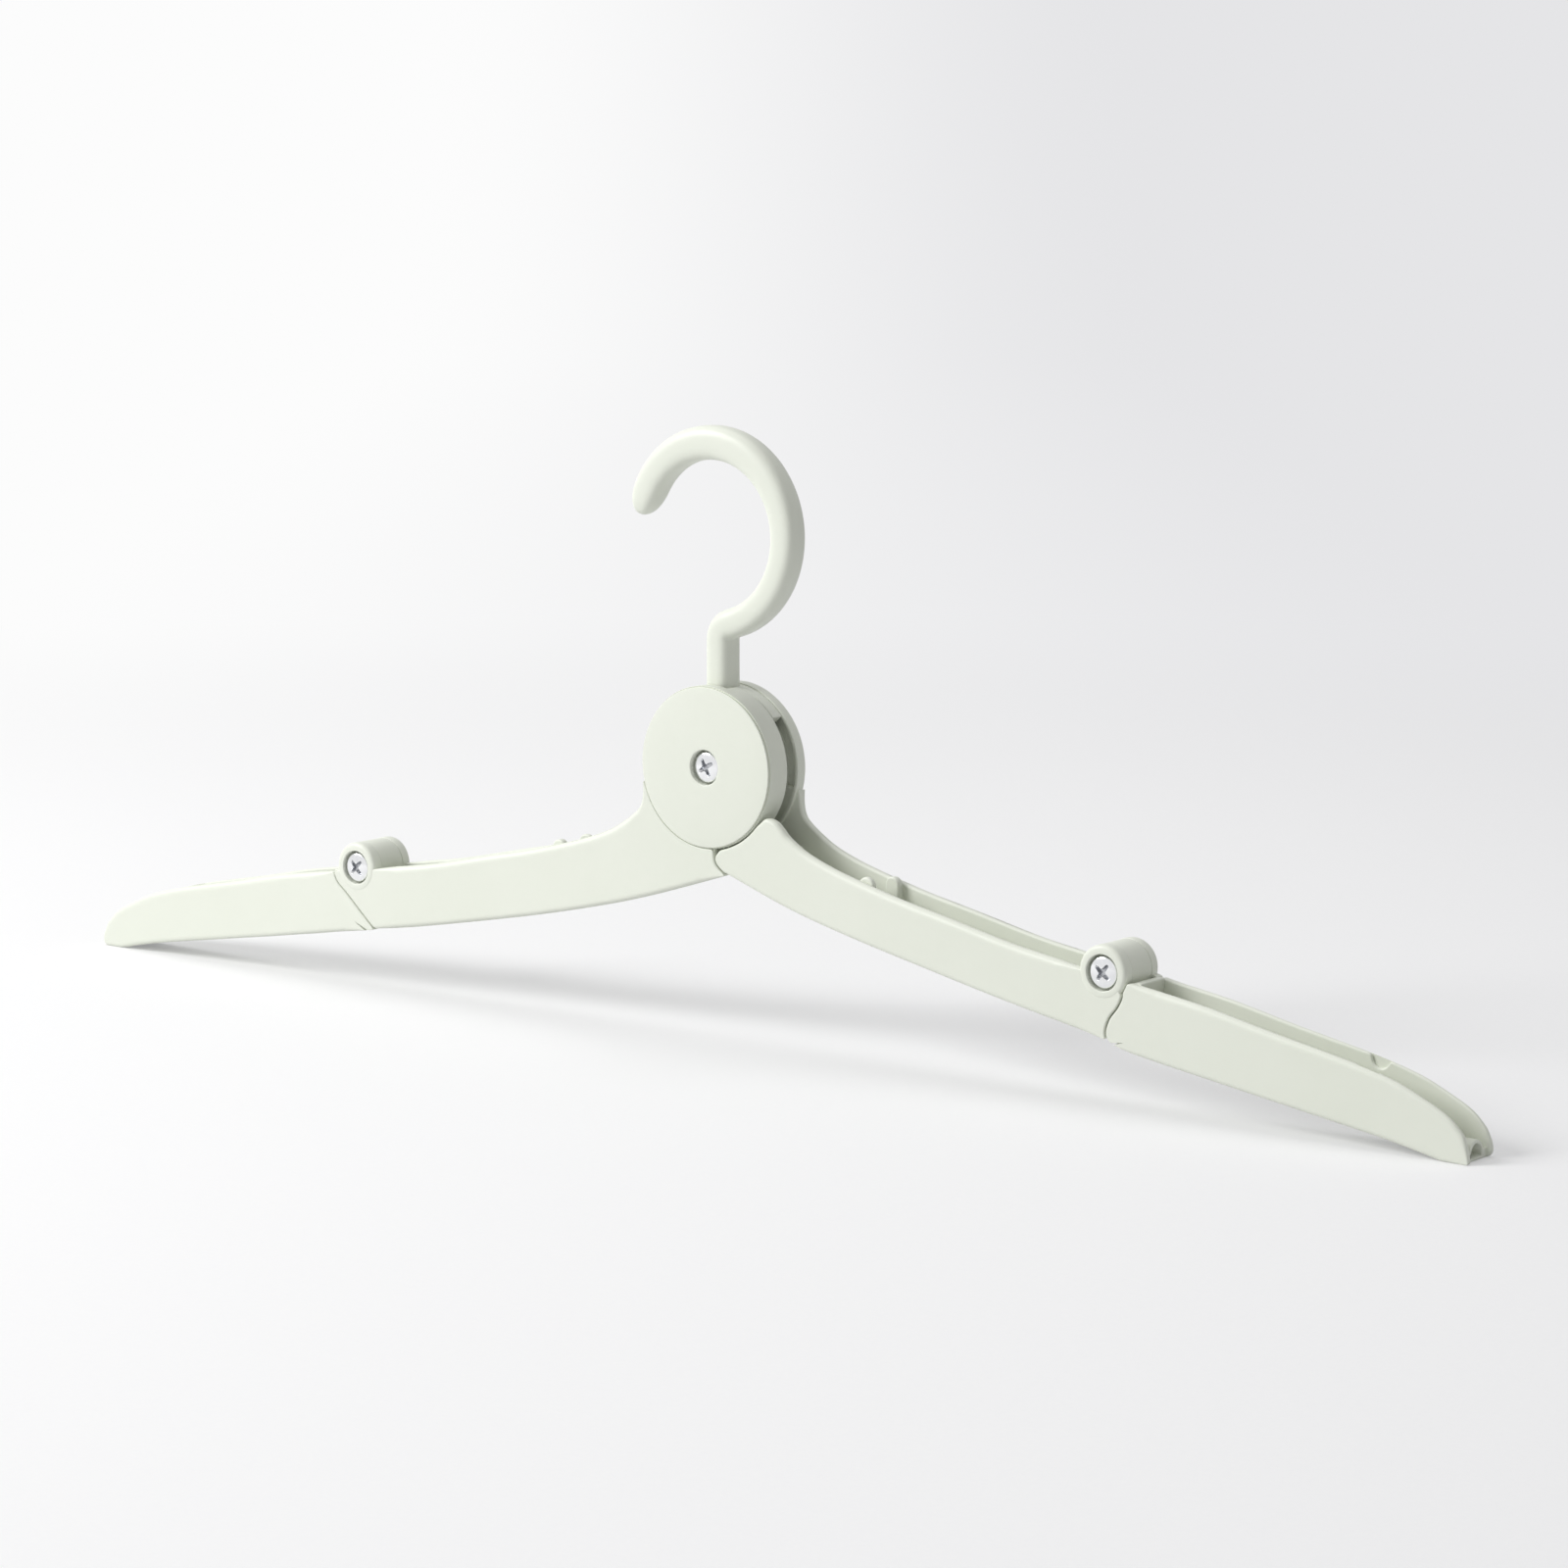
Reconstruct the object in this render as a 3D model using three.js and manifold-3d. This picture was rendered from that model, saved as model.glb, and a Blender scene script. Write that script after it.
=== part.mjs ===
// A folding travel hanger: a plastic hook, two inner arms and two outer arms on three screwed pivots.
// Millimetres, +X along the arms to the viewer's right, +Y to the rear, +Z up.
// The origin is the place inside the hook where the rail bears.
import * as THREE from 'three';
import { mergeVertices } from 'three/addons/utils/BufferGeometryUtils.js';
import Module from 'manifold-3d';

const wasm = await Module();
wasm.setup();

const degrees = Math.PI / 180;

// Fits that every piece shares
const fitGap = 0.3; // clearance between pieces that bear on each other
const seamGap = 0.4; // open line between two mouldings that face each other
const weld = 0.3; // depth by which the bodies of one moulding run into each other
const cutOver = 1; // how far a cut runs past the face that it opens
const sameVertex = 0.0001; // vertices nearer than this are one

// Mouldings: depth front to rear and thickness
const armDepth = 13.6;
const wallThickness = 2.2;
const floorThickness = 2;
const edgeRounding = 0.8;
const cornerDegrees = 30; // a sharper turn of an outline counts as a corner
const halfDepth = armDepth / 2;
const channelHalf = halfDepth - wallThickness;

// Hub, where both inner arms and the hook turn on one screw
const discRadius = 19.4;
const discEdgeRise = 0.1; // how far the edge of the domed face stands out from the arm's side
const discCrownRise = 0.6;
const rimThickness = 2.2;
const rimSpanDegrees = 138;
const discSides = 60;

// Inner arm, measured from the hub axis to the elbow axis
const elbowReach = 113.3;
const elbowDrop = 35.85;
const ribReach = 19.2; // to the rib across the channel next to the hub
const ribThickness = 1.2;
const ribHeight = 9.5;

// Elbow
const earRadius = 6.3;
const earCrownRise = 0.3; // how far the domed face of the ear stands out from the arm's side
const earInset = 0.7; // of the ear's inner face from the wall's
const elbowHeight = 14.8; // from the elbow axis to the underside
const barrelRadius = 6;

// Outer arm, measured from the elbow axis to the tip
const outerReach = 93.3;
const outerDrop = 30.75;
const tipWidth = 11.2;
const endWallThickness = 2;
const endWallReach = 7.7;
const tunnelInset = 2.6; // of the tunnel's open end from the tip
const tunnelLength = 5;
const tunnelRadius = 2.5;
const tunnelShell = 1;
const tunnelLip = 0.8;

// Snap pegs of the inner arm and the pockets that they enter in the outer arm
const postReach = 48;
const postWidth = 3.2;
const postThickness = 2;
const postRise = 1.2;
const nubReach = 47.1;
const nubRadius = 2;
const nubThickness = 1.6;
const nubRise = 0.8;
const pegLength = 7; // below the top edge
const pegInset = 0.2; // of the free end from the wall
const pocketRadius = 2.7;
const pocketDepth = 0.8;

// Hook
const rodDiameter = 7.7;
const loopRadius = 21.7; // to the middle of the rod
const loopShift = 2.4; // the loop's centre lies left of the stem
const loopHeight = 54.9; // of the loop's centre above the hub axis
const bendRadius = 4.2;
const loopEndDegrees = 152;
const beadLength = 13; // the rounded end of the hook
const beadWidth = 8.5;
const rodSides = 18;
const loopSteps = 72;
const stemGap = 0.5; // between the disc's rim and the full round of the stem
const tongueThickness = 5.6;
const eyeRadius = 9.4;
const flangeRadius = 18.9;
const flangeThickness = 1.9;
const flangeSpanDegrees = 50;

// Screws and barrel nuts: radii of the nut's sleeve, its bore and the screw's shank
const headRadius = 3.6;
const headThickness = 1.1;
const headCrown = 0.4;
const recessGap = 0.4; // around the head
const driveLength = 3.6;
const driveWidth = 0.8;
const driveDepth = 0.7;
const hubSleeve = 2.7;
const elbowSleeve = 2.3;
const sleeveWall = 0.9;
const shankGap = 0.3;
const hubRecess = 2.2; // depth below the crown
const elbowRecess = 2;

// Friction washers between the hook's eye and the two discs
const washerRadius = 7.6;
const washerThickness = 0.6;

// Outlines as shares: [of the way along the arm, of its drop]. An inner arm starts at the disc's edge,
// an outer arm at the elbow axis
const innerTopShares = [
  [0.05, 0.4], [0.101, 0.482], [0.167, 0.552], [0.253, 0.62],
  [0.389, 0.711], [0.532, 0.79], [0.725, 0.9], [0.859, 0.958],
];
const innerBottomTallShares = [[-0.02, 0.912], [0.158, 1.035], [0.405, 1.177], [0.764, 1.353]];
const innerBottomShortShares = [[0.05, 0.873], [0.236, 1.001], [0.485, 1.146], [0.726, 1.28]];
const outerTopShares = [
  [0.278, 0.16], [0.466, 0.285], [0.668, 0.413], [0.79, 0.511],
  [0.863, 0.599], [0.94, 0.716], [0.978, 0.833],
];
const outerBottomShares = [[0.09, 0.573], [0.32, 0.688], [0.553, 0.799], [0.779, 0.909]];
const footShares = [0.925, 1];
const roundTipShares = [[0.993, 0.903], [0.998, 0.944], [0.996, 0.976], [0.987, 1], footShares];
const sharpTipShares = [[0.991, 0.896], [0.998, 0.965], [0.998, 1], footShares];
// The neck from the barrel to the end wall: [of the way to the end wall, of the seam's height]
const neckShares = [[0, -0.34], [1, -0.57], [1, -0.2], [0.53, 0.23]];
// Seams as shares of their height: [to the right of the axis, below it]
const straightSeamShares = [[0.318, -0.355], [-0.027, -0.693], [-0.4, -1.025]];
const curvedSeamShares = [[0.37, -0.3], [0.264, -0.51], [0.128, -0.679], [0.054, -0.889], [0.08, -1.02]];
const floorSeamShare = 0.04;
// Outlines next to the hub as shares of the disc's radius: [to the right of the hub axis, above it]
const hubSeamShares = [[0.129, -1.085], [0.134, -1.144], [0.186, -1.216], [0.304, -1.3]];
const hubFloorSlope = 0.4;
const shoulderShares = [[1.04, -0.55], [0.985, -0.2]];
const hornShares = [[0.835, -0.588], [0.876, -0.546], [0.943, -0.531], [1.02, -0.536], [1.093, -0.577]];
// Domed face of a boss as shares: [of the radius, of the rise from its edge to its crown]
const domeShares = [[0.75, 0.7], [0.4, 1], [0, 1]];

const hub = new THREE.Vector2();
const elbow = new THREE.Vector2(elbowReach, -elbowDrop);
const discEnd = new THREE.Vector2(discRadius, 0);
const tipReach = elbowReach + outerReach;
const tipDrop = elbowDrop + outerDrop;
const discCrown = halfDepth + discCrownRise;
const discEdge = halfDepth + discEdgeRise;
const discBack = tongueThickness / 2 + fitGap; // inner face of the disc
const earCrown = halfDepth + earCrownRise;
const earBack = channelHalf - earInset;
const rodRadius = rodDiameter / 2;
const loopInside = loopRadius - rodRadius;
const railSeatHeight = loopHeight + Math.sqrt(loopInside ** 2 - loopShift ** 2);
const rimStartDegrees = 90 + Math.asin((rodRadius + seamGap) / (discRadius - rimThickness)) / degrees;

// A closed three.js geometry as a solid
function solid(geometry) {
  const bare = geometry.index ? geometry.toNonIndexed() : geometry.clone();
  bare.deleteAttribute('normal');
  bare.deleteAttribute('uv');
  const merged = mergeVertices(bare, sameVertex);
  const mesh = new wasm.Mesh({
    numProp: 3,
    vertProperties: new Float32Array(merged.attributes.position.array),
    triVerts: new Uint32Array(merged.index.array),
  });
  return new wasm.Manifold(mesh);
}

// A solid as a three.js geometry
function geometryOf(body) {
  const mesh = body.getMesh();
  const geometry = new THREE.BufferGeometry();
  geometry.setAttribute('position', new THREE.BufferAttribute(new Float32Array(mesh.vertProperties), 3));
  geometry.setIndex(new THREE.BufferAttribute(new Uint32Array(mesh.triVerts), 1));
  const faceted = geometry.toNonIndexed();
  faceted.computeVertexNormals();
  return faceted;
}

function joined(bodies) {
  return bodies.reduce((whole, body) => whole.add(body));
}

function box(low, high) {
  const size = new THREE.Vector3().subVectors(high, low);
  const geometry = new THREE.BoxGeometry(size.x, size.y, size.z);
  geometry.translate(low.x + size.x / 2, low.y + size.y / 2, low.z + size.z / 2);
  return solid(geometry);
}

// A cylinder along Y from one depth to another, around a point of the XZ plane
function drum(centre, radius, front, rear, sides = 40) {
  const geometry = new THREE.CylinderGeometry(radius, radius, rear - front, sides);
  geometry.translate(centre.x, (front + rear) / 2, centre.y);
  return solid(geometry);
}

// An outline of the XZ plane given a thickness along Y
function plate(outline, front, rear) {
  const shape = new THREE.Shape(outline);
  const geometry = new THREE.ExtrudeGeometry(shape, { depth: rear - front, bevelEnabled: false });
  geometry.rotateX(Math.PI / 2);
  geometry.translate(0, rear, 0);
  return solid(geometry);
}

// The outline without the points that lie too near a corner for its rounded edge
function eased(outline) {
  const corners = outline.filter((at, i) => {
    const before = outline[(i + outline.length - 1) % outline.length];
    const after = outline[(i + 1) % outline.length];
    const arriving = new THREE.Vector2().subVectors(at, before);
    const leaving = new THREE.Vector2().subVectors(after, at);
    return Math.abs(Math.atan2(arriving.cross(leaving), arriving.dot(leaving))) > cornerDegrees * degrees;
  });
  const free = (point) => corners.every((corner) => corner.distanceTo(point) > 2 * edgeRounding);
  return outline.filter((point) => corners.includes(point) || free(point));
}

// A plate whose outer face, at the named depth, has a rounded edge
function roundedPlate(outline, inner, outer) {
  const thickness = Math.abs(outer - inner);
  const geometry = new THREE.ExtrudeGeometry(new THREE.Shape(eased(outline)), {
    depth: thickness,
    bevelEnabled: true,
    bevelThickness: edgeRounding,
    bevelSize: edgeRounding,
    bevelOffset: -edgeRounding,
    bevelSegments: 2,
  });
  geometry.rotateX(Math.PI / 2);
  const toRear = outer > inner;
  geometry.translate(0, toRear ? outer - edgeRounding : outer + edgeRounding + thickness, 0);
  const reach = tipReach + tipDrop;
  const low = new THREE.Vector3(-reach, Math.min(inner, outer) - (toRear ? 0 : cutOver), -reach);
  const high = new THREE.Vector3(reach, Math.max(inner, outer) + (toRear ? cutOver : 0), reach);
  return solid(geometry).intersect(box(low, high));
}

// Points on an arc around a centre, both ends included
function arcPoints(centre, radius, fromDegrees, toDegrees, steps) {
  return Array.from({ length: steps + 1 }, (_, i) => {
    const angle = (fromDegrees + ((toDegrees - fromDegrees) * i) / steps) * degrees;
    return new THREE.Vector2(centre.x + radius * Math.cos(angle), centre.y + radius * Math.sin(angle));
  });
}

// A smooth run of points through the given ones
function smooth(points, steps) {
  return new THREE.SplineCurve(points).getPoints(steps);
}

// The run moved sideways: a positive distance goes to the left of its direction
function shifted(points, distance) {
  return points.map((point, i) => {
    const before = points[Math.max(i - 1, 0)];
    const after = points[Math.min(i + 1, points.length - 1)];
    const along = new THREE.Vector2().subVectors(after, before).normalize();
    return new THREE.Vector2(point.x - along.y * distance, point.y + along.x * distance);
  });
}

function fromShares(shares, reach, drop, origin = new THREE.Vector2()) {
  return shares.map(([x, y]) => new THREE.Vector2(origin.x + x * reach, origin.y + y * drop));
}

// The seam at the elbow between an inner arm and an outer arm, from the ear down
function elbowSeam(shares) {
  const start = shares[0];
  const angle = Math.atan2(start[1], start[0]);
  const radius = earRadius + seamGap / 2;
  const first = new THREE.Vector2(elbow.x + radius * Math.cos(angle), elbow.y + radius * Math.sin(angle));
  const rest = fromShares(shares.slice(1), elbowHeight, elbowHeight, elbow);
  return { angle: angle / degrees, points: smooth([first, ...rest], 4 * rest.length) };
}

// The seam under the hub between the disc wall of one arm and the horn of the other, from the top down
function hubSeam(side) {
  const points = fromShares(hubSeamShares, discRadius, discRadius);
  return shifted(smooth(points, 8), side * (seamGap / 2));
}

function innerTop() {
  return smooth(fromShares(innerTopShares, elbowReach - discRadius, -elbowDrop, discEnd), 24);
}

// Side outline of the wall that carries the disc, for the arm on the right
function discWallOutline() {
  const seam = elbowSeam(straightSeamShares);
  const edge = shifted(seam.points, -seamGap / 2).reverse();
  const foot = hubSeam(-1).map((point) => new THREE.Vector2(-point.x, point.y));
  const bottom = fromShares(innerBottomTallShares, elbowReach - discRadius, -elbowDrop, discEnd);
  const top = innerTop().reverse();
  const shoulder = smooth([top[top.length - 1], ...fromShares(shoulderShares, discRadius, discRadius)], 6);
  return [
    ...smooth([foot[foot.length - 1], ...bottom, edge[0]], 24),
    ...edge.slice(1, -1),
    ...arcPoints(elbow, earRadius - edgeRounding, seam.angle, 180, 16),
    ...top.slice(0, -1),
    ...shoulder,
    ...arcPoints(hub, discRadius - rimThickness, 0, 260, 40),
    ...foot.slice(0, -1),
  ];
}

// Side outline of the wall that ends in the horn, for the arm on the right
function hornWallOutline() {
  const seam = elbowSeam(curvedSeamShares);
  const edge = shifted(seam.points, -seamGap / 2).reverse();
  const foot = hubSeam(1);
  const bottom = fromShares(innerBottomShortShares, elbowReach - discRadius, -elbowDrop, discEnd);
  const top = innerTop().reverse();
  const horn = fromShares(hornShares, discRadius, discRadius);
  return [
    ...smooth([foot[foot.length - 1], ...bottom, edge[0]], 24),
    ...edge.slice(1, -1),
    ...arcPoints(elbow, earRadius - edgeRounding, seam.angle, 180, 16),
    ...top,
    ...horn.reverse(),
    ...arcPoints(hub, discRadius + seamGap, -38, -78, 14),
    ...foot.slice(0, -1),
  ];
}

function outerTop() {
  const start = arcPoints(elbow, earRadius + seamGap, -14, -14, 1)[0];
  return smooth([start, ...fromShares(outerTopShares, outerReach, -outerDrop, elbow)], 26);
}

// Side outline of a wall of the outer arm on the right
function outerWallOutline(seamShares, tipShares) {
  const seam = elbowSeam(seamShares);
  const edge = shifted(seam.points, seamGap / 2).reverse();
  const tip = fromShares(tipShares, outerReach, -outerDrop, elbow);
  const bottom = fromShares(outerBottomShares, outerReach, -outerDrop, elbow).reverse();
  return [
    ...arcPoints(elbow, earRadius + seamGap, seam.angle, -14, 8).slice(0, -1),
    ...outerTop(),
    ...tip,
    ...smooth([tip[tip.length - 1], ...bottom, edge[0]], 20).slice(1),
    ...edge.slice(1, -1),
  ];
}

// The height of a run of points at a place along X
function heightAt(points, x) {
  const sorted = [...points].sort((a, b) => a.x - b.x);
  const next = sorted.findIndex((point) => point.x >= x);
  const [a, b] = [sorted[next - 1], sorted[next]];
  return a.y + ((b.y - a.y) * (x - a.x)) / (b.x - a.x);
}

// The floor between the walls, along the underside given, from one place to another
function floorPlate(underside, from, to, front, rear) {
  const above = underside.map((point) => new THREE.Vector2(point.x, point.y + floorThickness)).reverse();
  const low = new THREE.Vector3(from, front - cutOver, -tipReach);
  const high = new THREE.Vector3(to, rear + cutOver, tipReach);
  return plate([...underside, ...above], front, rear).intersect(box(low, high));
}

// A round boss around an axis along Y, with a rounded edge and a domed outer face towards the rear
function boss(centre, radius, back, edge, crown, sides) {
  const profile = [
    new THREE.Vector2(0, back),
    new THREE.Vector2(radius, back),
    ...arcPoints(new THREE.Vector2(radius - edgeRounding, edge - edgeRounding), edgeRounding, 0, 90, 2),
    ...fromShares(domeShares, radius, crown - edge, new THREE.Vector2(0, edge)),
  ];
  const geometry = new THREE.LatheGeometry(profile, sides);
  geometry.translate(centre.x, 0, centre.y);
  return solid(geometry);
}

// A sector of a ring around the hub axis
function ringSector(inner, outer, fromDegrees, toDegrees, front, rear) {
  const wedge = plate([hub, ...arcPoints(hub, 2 * outer, fromDegrees, toDegrees, 6)], front, rear);
  return drum(hub, outer, front, rear, discSides)
    .subtract(drum(hub, inner, front - cutOver, rear + cutOver, discSides))
    .intersect(wedge);
}

// The peg on a wall's inner face: a root on the wall and a free end that rises over the top edge
function peg(outline, edgeHeight, side, thickness) {
  const inner = channelHalf - thickness;
  const free = [inner, channelHalf - pegInset].map((depth) => side * depth).sort((a, b) => a - b);
  const rooted = [inner, channelHalf + weld].map((depth) => side * depth).sort((a, b) => a - b);
  const high = new THREE.Vector3(elbowReach, halfDepth, edgeHeight - edgeRounding);
  const below = box(new THREE.Vector3(0, -halfDepth, -tipReach), high);
  return plate(outline, rooted[0], rooted[1]).intersect(below).add(plate(outline, free[0], free[1]));
}

function postPeg(top) {
  const edgeHeight = heightAt(top, postReach);
  const half = postWidth / 2;
  const outline = [
    new THREE.Vector2(postReach - half, edgeHeight - pegLength),
    new THREE.Vector2(postReach + half, edgeHeight - pegLength),
    new THREE.Vector2(postReach + half, edgeHeight + postRise / 2),
    new THREE.Vector2(postReach + half / 2, edgeHeight + postRise),
    new THREE.Vector2(postReach - half / 2, edgeHeight + postRise),
    new THREE.Vector2(postReach - half, edgeHeight + postRise / 2),
  ];
  return peg(outline, edgeHeight, 1, postThickness);
}

function nubPeg(top) {
  const edgeHeight = heightAt(top, nubReach);
  const centre = new THREE.Vector2(nubReach, edgeHeight + nubRise - nubRadius);
  const outline = [
    new THREE.Vector2(nubReach - nubRadius, edgeHeight - pegLength),
    new THREE.Vector2(nubReach + nubRadius, edgeHeight - pegLength),
    ...arcPoints(centre, nubRadius, 0, 180, 10),
  ];
  return peg(outline, edgeHeight, -1, nubThickness);
}

// The inner arm on the right: disc and tall wall at the rear, horn and short wall in front
function innerArm() {
  const top = innerTop();
  const seamFoot = hubSeam(1);
  const floorEnd = elbow.x + floorSeamShare * elbowHeight - seamGap / 2;
  const tallWallEnd = elbow.x + straightSeamShares[straightSeamShares.length - 1][0] * elbowHeight - seamGap;
  const shortBottom = fromShares(innerBottomShortShares, elbowReach - discRadius, -elbowDrop, discEnd);
  const foot = seamFoot[seamFoot.length - 1];
  const underHub = new THREE.Vector2(foot.x - discRadius, foot.y + hubFloorSlope * discRadius);
  const underside = smooth([foot, ...shortBottom, new THREE.Vector2(floorEnd, elbow.y - elbowHeight)], 24);
  const weldedHalf = channelHalf + weld;
  const clearHalf = channelHalf - seamGap;
  const ribFloor = heightAt(underside, ribReach);
  const body = joined([
    roundedPlate(discWallOutline(), channelHalf, halfDepth),
    roundedPlate(hornWallOutline(), -channelHalf, -halfDepth),
    floorPlate(underside, foot.x + weld, floorEnd, -weldedHalf, channelHalf - fitGap),
    floorPlate(underside, foot.x + weld, tallWallEnd, 0, weldedHalf),
    floorPlate([underHub, foot, underside[3]], seamGap / 2, underside[2].x, -clearHalf, weldedHalf),
    box(new THREE.Vector3(ribReach, -weldedHalf, ribFloor + floorThickness / 2),
      new THREE.Vector3(ribReach + ribThickness, weldedHalf, ribFloor + floorThickness + ribHeight)),
    boss(hub, discRadius, discBack, discEdge, discCrown, discSides),
    ringSector(discRadius - rimThickness, discRadius, rimStartDegrees, rimStartDegrees + rimSpanDegrees,
      fitGap / 2, discEdge - edgeRounding),
    boss(elbow, earRadius, earBack, halfDepth, earCrown, 32),
    boss(elbow, earRadius, earBack, halfDepth, earCrown, 32).mirror([0, 1, 0]),
    postPeg(top),
    nubPeg(top),
  ]);
  const recess = headRadius + recessGap;
  return body
    .subtract(drum(hub, hubSleeve + fitGap, 0, discCrown + cutOver))
    .subtract(drum(hub, recess, discCrown - hubRecess, discCrown + cutOver))
    .subtract(drum(elbow, elbowSleeve + fitGap, -earCrown - cutOver, earCrown + cutOver))
    .subtract(drum(elbow, recess, earCrown - elbowRecess, earCrown + cutOver))
    .subtract(drum(elbow, recess, -earCrown - cutOver, elbowRecess - earCrown));
}

// An outline of the YZ plane, drawn above the underside of the tip, given a length along X
function alongArm(outline, from, to) {
  const shape = new THREE.Shape(outline);
  const geometry = new THREE.ExtrudeGeometry(shape, { depth: to - from, bevelEnabled: false });
  geometry.rotateX(Math.PI / 2);
  geometry.rotateZ(Math.PI / 2);
  geometry.translate(from, 0, -tipDrop);
  return solid(geometry);
}

// The block between the walls of the tip, with an arched top, and the blind tunnel in it
function tipTunnel() {
  const half = channelHalf + weld;
  const middle = new THREE.Vector2(0, tunnelLip);
  const arch = arcPoints(middle, tunnelRadius + tunnelShell, 20, 160, 12);
  const outside = [
    new THREE.Vector2(-half, 0),
    new THREE.Vector2(half, 0),
    new THREE.Vector2(half, arch[0].y),
    ...arch,
    new THREE.Vector2(-half, arch[0].y),
  ];
  const inside = arcPoints(middle, tunnelRadius, 0, 180, 14);
  const end = tipReach - tunnelInset;
  return {
    block: alongArm(outside, end - tunnelLength, end),
    bore: alongArm(inside, end - tunnelLength + tunnelShell, end + cutOver),
  };
}

// The outer arm narrows evenly from its elbow end to the tip
function narrowed(body) {
  const from = elbow.x + straightSeamShares[straightSeamShares.length - 1][0] * elbowHeight;
  const rate = (1 - tipWidth / armDepth) / (tipReach - from);
  return body.warp((vertex) => {
    vertex[1] *= 1 - rate * (vertex[0] - from);
  });
}

// The outer arm on the right, with the barrel that turns between the ears
function outerArm() {
  const neckHalf = earBack - fitGap;
  const weldedHalf = channelHalf + weld;
  const floorFrom = elbow.x + floorSeamShare * elbowHeight + seamGap / 2;
  const shortWallFrom = elbow.x + curvedSeamShares[curvedSeamShares.length - 1][0] * elbowHeight + seamGap;
  const endWallX = elbow.x + endWallReach;
  const tunnelEnd = tipReach - tunnelInset;
  const underside = smooth([
    new THREE.Vector2(floorFrom, elbow.y - elbowHeight),
    ...fromShares([...outerBottomShares, footShares], outerReach, -outerDrop, elbow),
  ], 20);
  underside.push(new THREE.Vector2(tipReach, -tipDrop));
  const top = outerTop();
  const endHeight = heightAt(top, endWallX + endWallThickness) - edgeRounding;
  const neck = fromShares(neckShares, endWallReach + endWallThickness / 2, elbowHeight, elbow);
  const { block, bore } = tipTunnel();
  const body = joined([
    roundedPlate(outerWallOutline(straightSeamShares, roundTipShares), channelHalf, halfDepth),
    roundedPlate(outerWallOutline(curvedSeamShares, sharpTipShares), -channelHalf, -halfDepth),
    floorPlate(underside, floorFrom, tunnelEnd, fitGap - channelHalf, weldedHalf),
    floorPlate(underside, shortWallFrom, tunnelEnd, -weldedHalf, 0),
    box(new THREE.Vector3(endWallX, -weldedHalf, heightAt(underside, endWallX) + floorThickness / 2),
      new THREE.Vector3(endWallX + endWallThickness, weldedHalf, endHeight)),
    drum(elbow, barrelRadius, -neckHalf, neckHalf, 40),
    plate(neck, -neckHalf, neckHalf),
    block,
  ]);
  const pockets = [[postReach, 1], [nubReach, -1]].map(([reach, side]) => {
    const x = 2 * elbow.x - reach;
    const ends = [side * (channelHalf + pocketDepth), side * earBack].sort((a, b) => a - b);
    return drum(new THREE.Vector2(x, heightAt(top, x)), pocketRadius, ends[0], ends[1], 32);
  });
  const cuts = joined([bore, ...pockets, drum(elbow, elbowSleeve + fitGap, -halfDepth, halfDepth)]);
  return narrowed(body.subtract(cuts));
}

// The hook: stem, bend and open loop, with a rounded end and the flat tongue and eye between the two discs
function hookBody() {
  const bendShift = bendRadius + loopShift;
  const turn = Math.acos(bendShift / (loopRadius + bendRadius)) / degrees;
  const bendHeight = loopHeight - (loopRadius + bendRadius) * Math.sin(turn * degrees);
  const stemLow = discRadius + stemGap;
  const loopCentre = new THREE.Vector2(-loopShift, loopHeight);
  const middle = [
    new THREE.Vector2(0, stemLow),
    ...arcPoints(new THREE.Vector2(bendRadius, bendHeight), bendRadius, 180, 180 - turn, 6),
    ...arcPoints(loopCentre, loopRadius, -turn, loopEndDegrees, 36).slice(1),
  ];
  const stations = middle.map((point) => new THREE.Vector3(point.x, 0, point.y));
  const path = new THREE.CatmullRomCurve3(stations, false, 'chordal');
  const section = new THREE.Shape(arcPoints(hub, rodRadius, 0, 360, rodSides).slice(1));
  const rod = solid(new THREE.ExtrudeGeometry(section, { steps: loopSteps, extrudePath: path }));
  const bead = new THREE.SphereGeometry(beadWidth / 2, 20, 12);
  bead.scale(1, 1, beadLength / beadWidth);
  bead.rotateY(-loopEndDegrees * degrees);
  const end = middle[middle.length - 1];
  bead.translate(end.x, 0, end.y);
  const half = tongueThickness / 2;
  const flangeFront = half - flangeThickness;
  const flange = ringSector(eyeRadius - weld, flangeRadius, 90 - flangeSpanDegrees, 90, flangeFront, half);
  const body = joined([
    rod,
    solid(bead),
    box(new THREE.Vector3(-rodRadius, -half, 0), new THREE.Vector3(rodRadius, half, stemLow + weld)),
    drum(hub, eyeRadius, -half, half),
    flange,
    flange.rotate([0, 0, 180]),
  ]);
  const seatDepth = discBack - washerThickness - 2 * fitGap;
  const seat = washerRadius + recessGap;
  return body
    .subtract(drum(hub, seat, seatDepth, half + cutOver))
    .subtract(drum(hub, seat, -half - cutOver, -seatDepth))
    .subtract(drum(hub, hubSleeve + fitGap, -half, half));
}

// A domed head at the rear, its underside at the seat, with a cross recess and a shank up to the given end
function fastener(radius, end, seat) {
  const crown = seat + headThickness + headCrown;
  const drive = [[driveLength, driveWidth], [driveWidth, driveLength]].map(([width, height]) => box(
    new THREE.Vector3(-width / 2, crown - driveDepth, -height / 2),
    new THREE.Vector3(width / 2, crown + cutOver, height / 2),
  ));
  const profile = [
    new THREE.Vector2(0, end),
    new THREE.Vector2(radius, end),
    new THREE.Vector2(radius, seat),
    new THREE.Vector2(headRadius, seat),
    new THREE.Vector2(headRadius, seat + headThickness - headCrown),
    new THREE.Vector2(headRadius - headCrown, seat + headThickness),
    new THREE.Vector2(headRadius / 2, crown),
    new THREE.Vector2(0, crown),
  ];
  return solid(new THREE.LatheGeometry(profile, 32)).subtract(joined(drive));
}

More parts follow.
